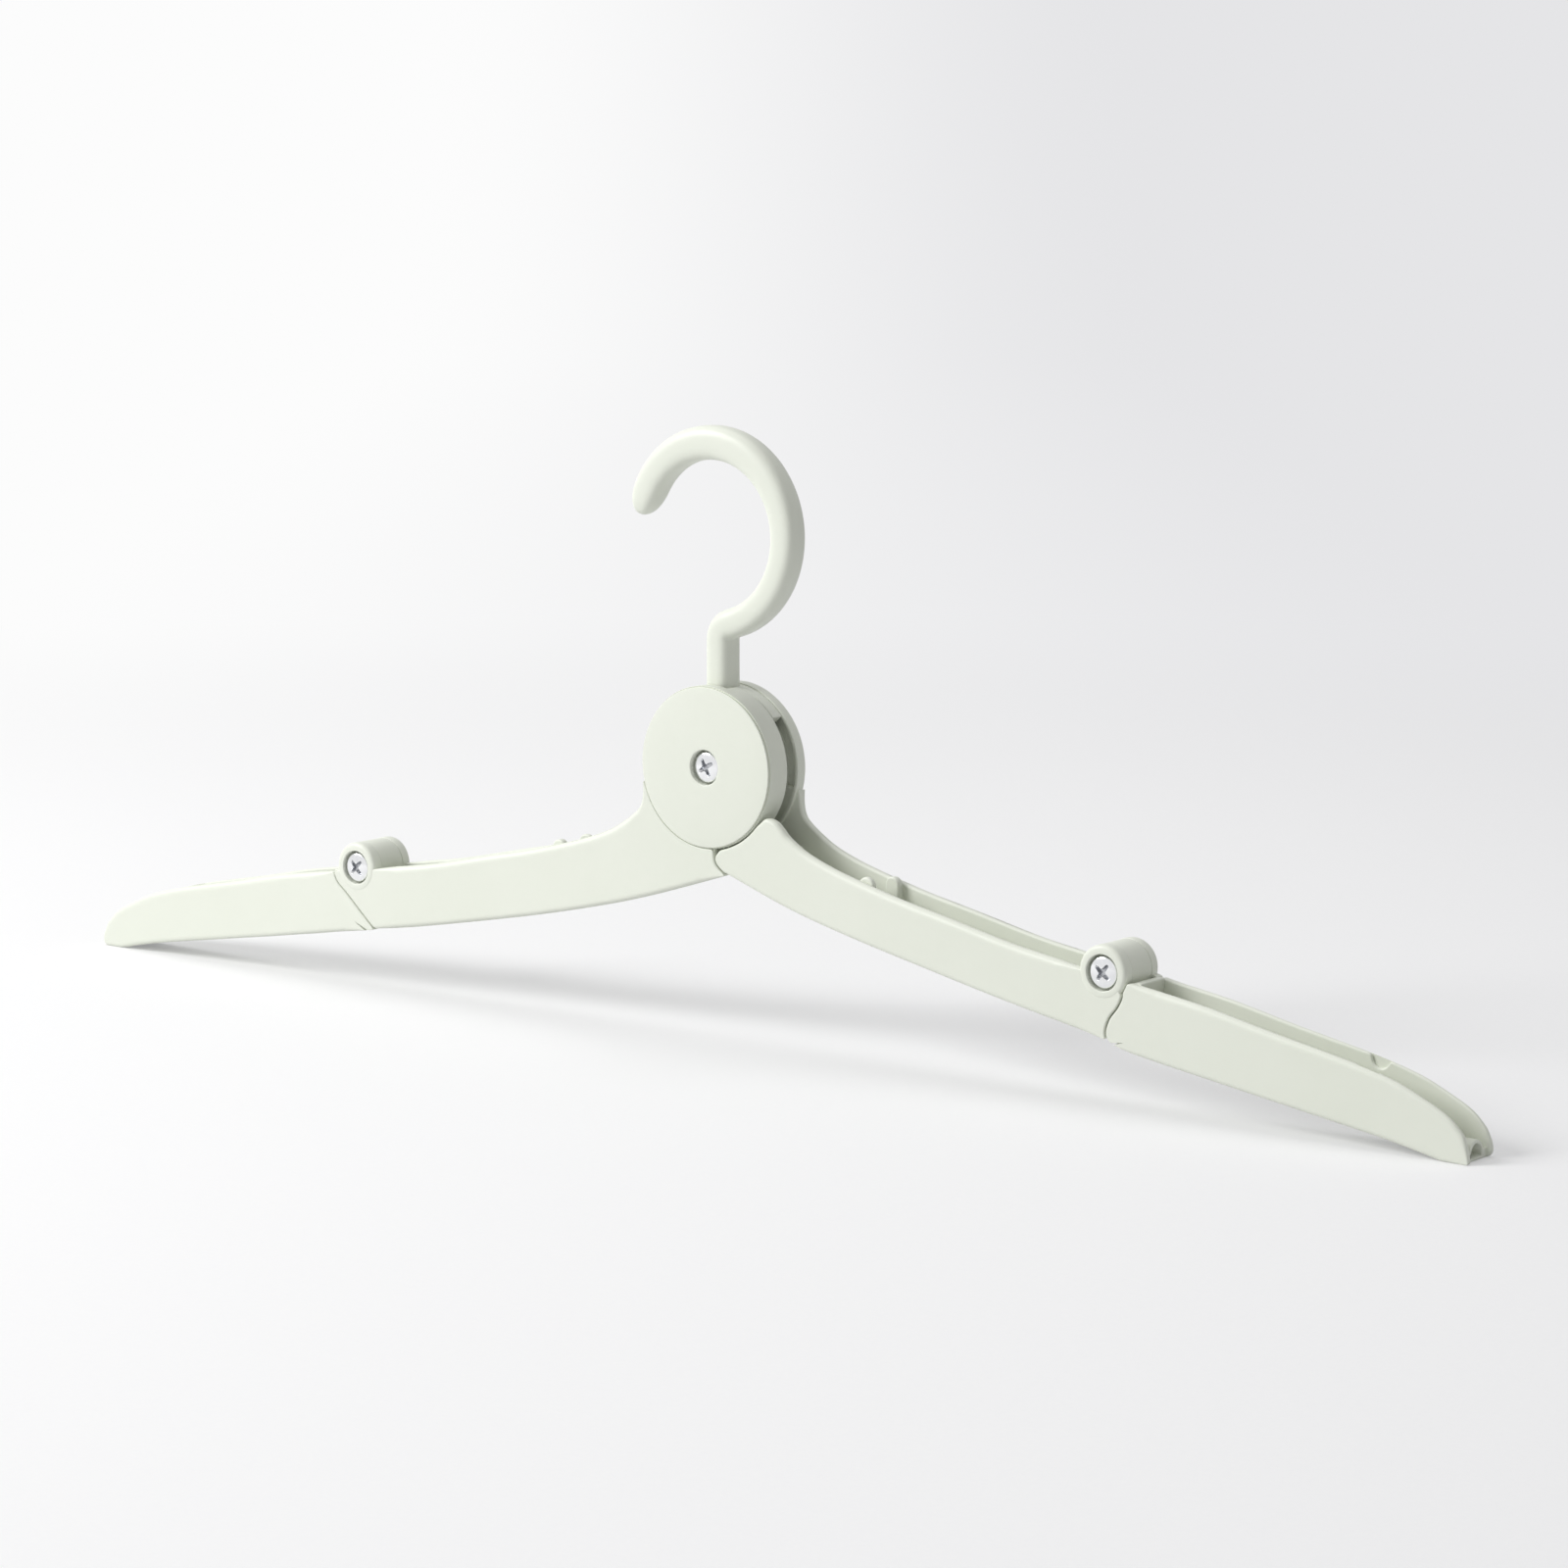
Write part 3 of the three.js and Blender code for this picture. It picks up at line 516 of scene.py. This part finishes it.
def pegs(top):
    """The post on the tall wall and the round nub on the short one: a root on the wall and a free end
    that rises over its top edge."""
    post_top, nub_top = height_at(top, post_place), height_at(top, nub_place)
    post_foot, nub_foot = post_top - peg_length, nub_top - peg_length
    post = np.vstack([[(post_place - post_half, post_foot), (post_place + post_half, post_foot)],
                      arc((post_place, post_top - 0.75), post_half, 0, 180, 20)])
    nub = np.vstack([[(nub_place - nub_radius, nub_foot), (nub_place + nub_radius, nub_foot)],
                     arc((nub_place, nub_top - 1.1), nub_radius, 0, 180, 24)])
    yield plate(softened([(post, 0.5)], 0.2, 0.2), 2.5, 4.4, 0.5, 0.5)
    yield plate(softened([(nub, 0.55)], 0.2, 0.2), -2.9, -4.4, 0.5, 0.55)
    root = 0.1  # how far a root stays inside its peg's outline
    yield plate(box_outline(post_place - post_half + root, post_place + post_half - root,
                            post_foot + root, post_top - 0.9), 2.7, 4.9)
    yield plate(box_outline(nub_place - nub_radius + root, nub_place + nub_radius - root,
                            nub_foot + root, nub_top - 1.0), -3.1, -4.9)


seam_foot = seam_under_hub(1)
floor_end = elbow[0] + .04 * elbow_height - seam_gap / 2
under = smooth([seam_foot[-1], *inner_run(short_bottom), (floor_end, elbow[1] - elbow_height)], 90)
under_hub = seam_foot[-1] + disc_radius * np.array([-1, .4])
rib_left, rib_right = 19.2, 20.4
rib_low = height_at(under, rib_left) + 1
inner_arm = Moulding()
under_groove, beside_groove = disc_wall(13), disc_wall(disc_radius + 0.1)
under_groove[:, 2] = beside_groove[:, 3] = sharp
inner_arm.skin(plate(under_groove, channel_half, groove_floor, sharp, inner_edge_depth))
inner_arm.skin(plate(beside_groove, groove_floor - layer_lap, arm_half, edge_depth, sharp))
inner_arm.skin(plate(horn_wall(), -channel_half, -arm_half, edge_depth, inner_edge_depth))
inner_arm.skin(disc())
inner_arm.skin(ear(1), ring=True)
inner_arm.skin(ear(-1), ring=True)
# The floor's strips lie 0.03 above each other, so that no two of their faces coincide. Each strip: its
# underside, its first and last place along the arm, and its front and rear depth.
slope = np.array([under_hub, seam_foot[-1], under[4]])
strips = (
    (under + (0, 0.03), seam_foot[-1][0] + 0.3, floor_end, -4.85, 4.3),
    (under + (0, 0.06), seam_foot[-1][0] + 0.35, 107, 4.1, 4.85),
    (slope + (0, 0.09), 0.2, under[4][0], -4.2, 4.85),
)
for underside, first, last, front, rear in strips:
    inner_arm.skin(plate(floor_outline(underside, first, last), front, rear, floor_edge, floor_edge))
inner_arm.skin(plate(box_outline(rib_left, rib_right, rib_low, rib_low + 10.5), -4.9, 4.9))
for part in pegs(arm_top):
    inner_arm.skin(part)
for hand in ("right", "left"):
    moulding = inner_arm.made(hand + "_inner_moulding", half_turn=hand == "left")
    fitted(moulding, plastic, hand + "_inner", hand + "_inner_arm")

# Outer arms
# One moulding each: a narrowing channel with a barrel that turns between the ears, a wall across its
# inner end, a small slit under each wall, shallow pockets in which the snap pegs click when it is folded,
# and a short tunnel at the tip.
outer_span = np.array([93.3, -30.75])
outer_top_shares = [(.278, .15), (.466, .268), (.668, .388), (.79, .48), (.863, .566), (.94, .682),
                    (.982, .8)]
outer_bottom_shares = [(.09, .573), (.32, .688), (.553, .799), (.779, .909)]
round_tip = [(.9945, .885), (.998, .935), (.9965, .976), (.987, 1), (.925, 1)]
sharp_tip = [(.991, .885), (.996, .965), (.997, 1), (.925, 1)]
tip = elbow + outer_span
tip_half = 5.6
tip_wall_share = 0.62  # of the wall's thickness at the inner end
narrow_from = elbow[0] - .4 * elbow_height
layer_depth = 5.6  # where the two layers of a wall meet
layer_edge = 0.03
pocket_radius = 2.4


def outer_run(shares):
    """Places along the outer arm: the elbow plus the shares of its span to the tip."""
    return elbow + outer_span * np.array(shares)


outer_top = smooth([arc(elbow, ear_radius + seam_gap, -14, -14, 1)[0], *outer_run(outer_top_shares)], 90)


def slit(outline, mouth, end):
    """The outline with a narrow wedge cut in: where it passes between the two places of the mouth it goes
    from the first to the wedge's end and back to the second. Beside the mouth, at a distance d, the edge
    is rounded by no more than 0.02 + 0.05 d + 0.12 d^2."""
    outline = outline.copy()
    beside_mouth = np.hypot(*(outline[:, :2] - np.mean(mouth, axis=0)).T)[:, None]
    outline[:, 2:] = np.minimum(outline[:, 2:], 0.02 + 0.05 * beside_mouth + 0.12 * beside_mouth**2)
    first, second = (np.argmin(np.hypot(*(outline[:, :2] - place).T)) for place in mouth)
    first, second = min(first, second), max(first, second)
    into = np.linspace(0, 1, 12)[1:, None]
    rows = np.vstack([outline[first, :2] + into * (np.array(end) - outline[first, :2]),
                      (np.array(end) + into * (outline[second, :2] - end))[:-1]])
    wedge = np.column_stack([rows, np.full((len(rows), 2), 0.05)])
    return np.vstack([outline[:first + 1], wedge, outline[second:]])


def outer_wall(seam, tip_shares, pocket=None):
    """Outline of a wall of the outer arm, with a round bite in its top edge where a pocket is given."""
    edge, angle = seam_at_elbow(seam, 1)
    end = outer_run(tip_shares)
    top = outer_top[outer_top[:, 0] > edge[-1][0] + 0.3]
    if pocket:
        centre = np.array([pocket, height_at(top, pocket)])
        slope = degrees(atan2(height_at(top, pocket + 1) - centre[1], 1))
        away = np.hypot(*(top - centre).T) > pocket_radius + 0.1
        before, after = top[away & (top[:, 0] < pocket)], top[away & (top[:, 0] > pocket)]
        top = np.vstack([before, arc(centre, pocket_radius, 180 + slope, 360 + slope, 30), after])
    beside_ear = arc(elbow, ear_radius + seam_gap, angle, -14, 12)[:-1] if angle < -15 else edge[-1:]
    return softened([
        (beside_ear, 0.4), (top, top_edge), (end, end_edge),
        (smooth([end[-1], *outer_run(outer_bottom_shares)[::-1], edge[0]], 90)[1:], (1.2, 0.4)),
        (edge[1:-1], 0.5),
    ])


def narrowed(grid, wall=False):
    """Depth times 1 - k (x - x0): the arm narrows evenly from its inner end to the tip. A wall keeps its
    outer face there, and its thickness shrinks to a share of what it was at the inner end."""
    share = (grid[..., 0] - narrow_from) / (tip[0] - narrow_from)
    narrowing = 1 - (1 - tip_half / arm_half) * share
    depth = grid[..., 1] * narrowing
    if wall:
        thinning = 1 - (1 - tip_wall_share) * np.clip(share, 0, 1)
        depth = np.sign(grid[..., 1]) * (arm_half * narrowing - (arm_half - abs(grid[..., 1])) * thinning)
    return np.stack([grid[..., 0], depth, grid[..., 2]], axis=-1)


def tip_tunnel():
    """Skin of the block at the tip: an arched outline and an arched bore, (a cos t, sill + b sin t) for
    both, carried along the arm from the block's back to its mouth and back to the bore's floor. The
    outline ends in two broad feet."""
    sill, foot, foot_half_width = 0.8, 2.1, 5.35
    arch_half, arch_rise = 3.9, 3.8
    bore_half, bore_rise = 3.0, 2.9
    angle = np.linspace(0, 180, 61)
    arch = np.radians(angle)
    knots = [0, 9, 18, 20]
    shoulder = np.minimum(angle, 180 - angle)
    foot_y = np.sign(90 - angle) * np.interp(shoulder, knots, [foot_half_width, foot_half_width, 4.0, 3.66])
    foot_z = np.interp(shoulder, knots, [0, foot, foot, foot])
    out_y = np.where(shoulder < 20, foot_y, arch_half * np.cos(arch))
    out_z = np.where(shoulder < 20, foot_z, sill + arch_rise * np.sin(arch))
    outside = np.column_stack([out_y, out_z])
    inside = np.column_stack([bore_half * np.cos(arch), sill + bore_rise * np.sin(arch)])
    share = np.linspace(0, 1, 20)[1:-1, None]
    outside = np.vstack([outside, outside[-1] + share * (outside[0] - outside[-1])])
    inside = np.vstack([inside, inside[-1] + share * (inside[0] - inside[-1])])
    mouth = tip[0] - 1.4
    # Each row: how far it lies behind the mouth, and how far it has gone from the outside to the inside.
    rows = ((5, 0), (0.45, 0), (0.14, 0.07), (0, 0.3), (0, 0.75), (0.25, 1), (4.6, 1))
    runs = [(mouth - behind, (1 - way) * outside + way * inside) for behind, way in rows]
    return np.stack([np.column_stack([np.full(len(run), x), run[:, 0], tip[1] + run[:, 1]])
                     for x, run in runs])


outer_arm = Moulding()
floor_from = elbow[0] + .04 * elbow_height + seam_gap / 2
outer_under = [(floor_from, elbow[1] - elbow_height), *outer_run(outer_bottom_shares + [(.925, 1)])]
outer_under = np.vstack([smooth(outer_under, 90), [tip]])
# Each wall: its seam, its tip, its side, the place of its pocket, and the mouth and the end of its slit.
walls = (
    (straight_seam, round_tip, 1, 178.7, [(109.4, -51.4), (110.6, -51.6)], (114.3, -49.6)),
    (curved_seam, sharp_tip, -1, 181.0, [(115.8, -51.3), (116.8, -51.7)], (119.1, -51.1)),
)
for seam, tip_shares, side, pocket, *cut in walls:
    wall = slit(outer_wall(seam, tip_shares), *cut)
    wall[:, 3] = sharp
    outer_layer = plate(wall, side * layer_depth, side * arm_half, edge_depth, sharp)
    outer_arm.skin(narrowed(outer_layer, wall=True))
    bitten = slit(outer_wall(seam, tip_shares, pocket), *cut)
    bitten[:, 2] = layer_edge
    inner_layer = plate(bitten, side * channel_half, side * (layer_depth + layer_lap), layer_edge,
                        inner_edge_depth)
    outer_arm.skin(narrowed(inner_layer, wall=True))
tunnel_back = tip[0] - 7.5
strips = (
    (outer_under + (0, 0.03), floor_from, -4.3, 5.4),
    (outer_under + (0, 0.06), elbow[0] + 1.6, -5.4, -4.1),
)
for underside, first, front, rear in strips:
    strip = plate(floor_outline(underside, first, tunnel_back), front, rear, floor_edge, floor_edge)
    outer_arm.skin(narrowed(strip))
end_wall_near, end_wall_far = elbow[0] + 7.1, elbow[0] + 9.2
end_wall = box_outline(end_wall_near, end_wall_far, height_at(outer_under, end_wall_near) + 1,
                       height_at(outer_top, end_wall_near), 0.6)
outer_arm.skin(narrowed(plate(end_wall, -4.9, 4.9, 0.1, 0.1)))
neck = elbow + np.array([(0, -5.03), (8.3, -8.4), (8.3, -3.2), (5, -2.2)])
outer_arm.skin(narrowed(plate(softened([(neck, 0.2)], 0.25, 0.25), -3.6, 3.6)))
barrel_radius, barrel_half = 6.24, 3.84
barrel = eased([(elbow_bore, -barrel_half), (barrel_radius, -barrel_half), (barrel_radius, barrel_half),
                (elbow_bore, barrel_half)], [0.2, 0.12, 0.12, 0.2])
outer_arm.skin(turned(barrel, elbow), ring=True)
outer_arm.skin(narrowed(tip_tunnel()))
for hand in ("right", "left"):
    moulding = outer_arm.made(hand + "_outer_moulding", half_turn=hand == "left")
    fitted(moulding, plastic, hand + "_outer", hand + "_outer_arm")

# Screws and barrel nuts
# Chromed steel. The nut's sleeve passes through both mouldings from the rear and the screw's shank goes
# into it from the front, so a domed head with a cross recess sits in a round recess on both sides.
chrome = Finish("polished_chrome")
place = chrome.node("TexCoord", output="Object")
worn = chrome.noise(place, 900, 3)
fine = chrome.noise(place, 5200, 2)
recess = chrome.node("Attribute", {"attribute_name": "recess"}, output="Fac")
bright = chrome.mixed(worn, linear(226, 228, 231), linear(242, 242, 242))
chrome.surface({
    # Inside the cross recess the chrome is painted darker, broken up by the worn noise: painted shade.
    "Base Color": chrome.mixed(recess * worn * 1.3, bright, linear(118, 121, 128)),
    "Metallic": 1.0,
    "Roughness": 0.06 + worn * 0.12,
    "Normal": chrome.node("Bump", {}, {"Strength": 0.2, "Distance": 0.00002, "Height": fine + worn}),
})


crown_rise = 1.5  # of the head's middle over its seat
crown_fall, crown_radius = 0.4, 3.2
head_sink = 0.9  # of the head's foot under its seat
cross_half, cross_reach, cross_depth = 0.66, 2.35, 0.95


def fastener(centre, shank, end, seat, side, turn, bore=None):
    """Skin of a domed head and its shank: a profile turned round its axis. The head's face falls from its
    crown by the crown's fall times (r / R)^2, and inside the cross, |u| < w and |v| < l on either arm, it
    sinks. How far it is sunk comes with it, from 0 to 1."""
    crown, foot = seat + crown_rise, seat - head_sink
    face = np.linspace(0.04, 2.6, 36)
    radius = np.concatenate([face, [2.75, 2.95, 3.12, 3.3, 3.45, 3.55, 3.62, 3.65, 3.65, 3.6]])
    depth = crown - crown_fall * (radius / crown_radius) ** 2
    depth[-6:] = [crown - .5, crown - .58, crown - .7, crown - .86, foot + .15, foot]
    tail = [(shank, foot), (shank, end + .2), (shank - .2, end)]
    if bore:
        tail += [(bore + .15, end), (bore, end + .2), (bore, foot - .3), (.1, foot - .3)]
    else:
        tail += [(.1, end)]
    radius, depth = (np.concatenate([values, column])[:, None]
                     for values, column in zip((radius, depth), np.array(tail).T))
    angle = np.linspace(0, 2 * pi, 144, endpoint=False)
    u, v = abs(radius * np.cos(angle - radians(turn))), abs(radius * np.sin(angle - radians(turn)))
    arms = [np.clip((cross_half - 0.13 * length - across) / 0.16, 0, 1)
            * np.clip((cross_reach - length) / 0.6, 0, 1) for across, length in ((u, v), (v, u))]
    sunk = np.maximum(*arms) * (np.arange(len(radius)) < len(face))[:, None]
    skin = np.stack([centre[0] + radius * np.cos(angle), side * (depth - cross_depth * sunk),
                     centre[1] + radius * np.sin(angle)], axis=-1)
    return skin, sunk


def turned_part(name, node, body, *sizes, **more):
    """A screw or nut as an object. How far each place is sunk goes with it as the attribute recess, which
    the chrome uses to paint shade into the cross.
    """
    skin, sunk = fastener(*sizes, **more)
    part = Moulding()
    part.skin(skin)
    piece = part.made(name)
    piece.data.attributes.new("recess", "FLOAT", "POINT").data.foreach_set("value", sunk.ravel())
    fitted(piece, chrome, body, node)


# Each pivot: its name and place, its sleeve's radius, the depth of its seats, its body and the cross's turn.
pivots = (
    ("hub", (0, 0), 2.7, 5.5, "hook", 30),
    ("right_elbow", elbow, 2.3, 5.4, "right_inner", 52),
    ("left_elbow", elbow * (-1, 1), 2.3, 5.4, "left_inner", 44),
)
for name, centre, sleeve, seat, body, turn in pivots:
    end = 0.6 - seat
    turned_part(name + "_nut_chromed", name + "_barrel_nut", body, centre, sleeve, end, seat, 1, turn + 20,
                bore=sleeve - .9)
    turned_part(name + "_screw_chromed", name + "_screw", body, centre, sleeve - 1.2, end, seat, -1, turn)

# Floor and backdrop
# A white paper sweep: flat under the hanger, then curved up behind it. It is only the ground of the
# picture and no part of the hanger.
floor_height = hub_height / 1000 - 0.0666
sweep_start, sweep_bend, sweep_radius, sweep_top = -3.5, 2.6, 0.9, 4
sweep = np.vstack([[(sweep_start, 0)], [(sweep_bend, 0)],
                   arc((sweep_bend, sweep_radius), sweep_radius, -90, 0, 24)[1:],
                   [(sweep_bend + sweep_radius, sweep_top)]])
width = np.linspace(-5, 5, 3)
turn = radians(37.58)  # the way the camera looks
sheet = np.stack([np.broadcast_to(width, (len(sweep), 3)) * np.cos(turn) - sweep[:, :1] * np.sin(turn),
                  np.broadcast_to(width, (len(sweep), 3)) * np.sin(turn) + sweep[:, :1] * np.cos(turn),
                  np.broadcast_to(sweep[:, 1:], (len(sweep), 3)) + floor_height], axis=-1)
number = np.arange(len(sweep) * 3).reshape(-1, 3)
squares = np.stack([number[:-1, :-1], number[:-1, 1:], number[1:, 1:], number[1:, :-1]], axis=-1)
paper_mesh = bpy.data.meshes.new("paper_sweep")
paper_mesh.from_pydata(sheet.reshape(-1, 3).tolist(), [], squares.reshape(-1, 4).tolist())
paper_mesh.shade_smooth()
paper_sweep = bpy.data.objects.new("paper_sweep", paper_mesh)
bpy.context.collection.objects.link(paper_sweep)


def seen(finish):
    """1 on rays from the camera and on those seen in a mirror or through glass, 0 on all others."""
    kinds = ("Is Camera Ray", "Is Glossy Ray", "Is Transmission Ray")
    camera_ray, glossy_ray, glass_ray = (finish.node("LightPath", output=kind) for kind in kinds)
    return camera_ray + glossy_ray + glass_ray


# The paper is a little overexposed, more so far away from the hanger, and its glow is painted greyer towards
# the right: painted shade.
paper = Finish("white_paper")
place = paper.node("TexCoord", output="Object")
away = paper.node("VectorMath", {"operation": "LENGTH"}, {0: place}, output="Value")
rightwards = paper.node("VectorMath", {"operation": "DOT_PRODUCT"}, {0: place, 1: (0.79, 0.61, 0)},
                        output="Value")
painted_shade_rightwards = paper.node("MapRange", {"interpolation_type": "SMOOTHSTEP"},
                    {"Value": rightwards, "From Min": -0.34, "From Max": 0.34})
overexposed = paper.node("MapRange", {"interpolation_type": "SMOOTHSTEP"},
                         {"Value": away, "From Min": 0.34, "From Max": 0.9, "To Min": 0.3, "To Max": 1.0})
fibres = paper.noise(place, 900, 3)
white = paper.mixed(fibres, linear(249, 249, 250), linear(253, 253, 253))
lit = paper.node("BsdfPrincipled", {}, {
    "Base Color": paper.mixed(seen(paper), linear(222, 222, 223), white),
    "Roughness": 0.75,
    "Specular IOR Level": 0.25,
})
# Painted shade: the glow's white turns greyer towards the right.
overexposed_white = paper.mixed(painted_shade_rightwards, linear(252, 252, 252), linear(229, 229, 231))
glow = paper.node("Emission", {}, {"Color": overexposed_white})
both = paper.node("MixShader", {}, {0: seen(paper) * overexposed, 1: lit, 2: glow})
paper.node("OutputMaterial", {}, {"Surface": both})
paper_mesh.materials.append(paper.material)

# Light
# One large soft lamp from the upper left in front, which throws the soft shadows to the right, a weak
# one from above, and a pale room that fills the dark sides.
def lamp(name, place, aim, size, power):
    """A square soft lamp that looks from its place towards another."""
    data = bpy.data.lights.new(name, "AREA")
    data.shape, data.size, data.energy = "SQUARE", size, power
    lamp_object = bpy.data.objects.new(name, data)
    lamp_object.location = place
    direction = np.subtract(aim, place)
    flat = np.hypot(direction[0], direction[1])
    lamp_object.rotation_euler = (atan2(flat, -direction[2]), 0, atan2(direction[1], direction[0]) - pi / 2)
    bpy.context.collection.objects.link(lamp_object)


lamp("key_lamp", (-1.05, -1.08, 0.85), (0, 0, -0.05), 0.8, 25)
lamp("top_lamp", (-0.2, 0.3, 1.6), (0, 0, -0.08), 1.2, 7)
room = Finish("pale_room", bpy.data.worlds)
shown = room.mixed(seen(room), (0.37, 0.37, 0.37, 1), linear(246, 246, 247))
room.node("OutputWorld", {}, {"Surface": room.node("Background", {}, {"Color": shown})})
bpy.context.scene.world = room.material
bpy.context.scene.view_settings.view_transform = "Standard"

# Camera
# At the photograph's angle, a little over a metre from the hub with a long lens. It was fitted to places
# that can be measured in the photograph.
camera_data = bpy.data.cameras.new("camera")
camera_data.sensor_width, camera_data.lens = 36, 107.815
camera = bpy.data.objects.new("camera", camera_data)
camera.location = (0.6893, -0.8604, 0.09096)
camera.rotation_euler = (radians(90 - 8.68), 0, radians(37.952))
bpy.context.collection.objects.link(camera)
bpy.context.scene.camera = camera
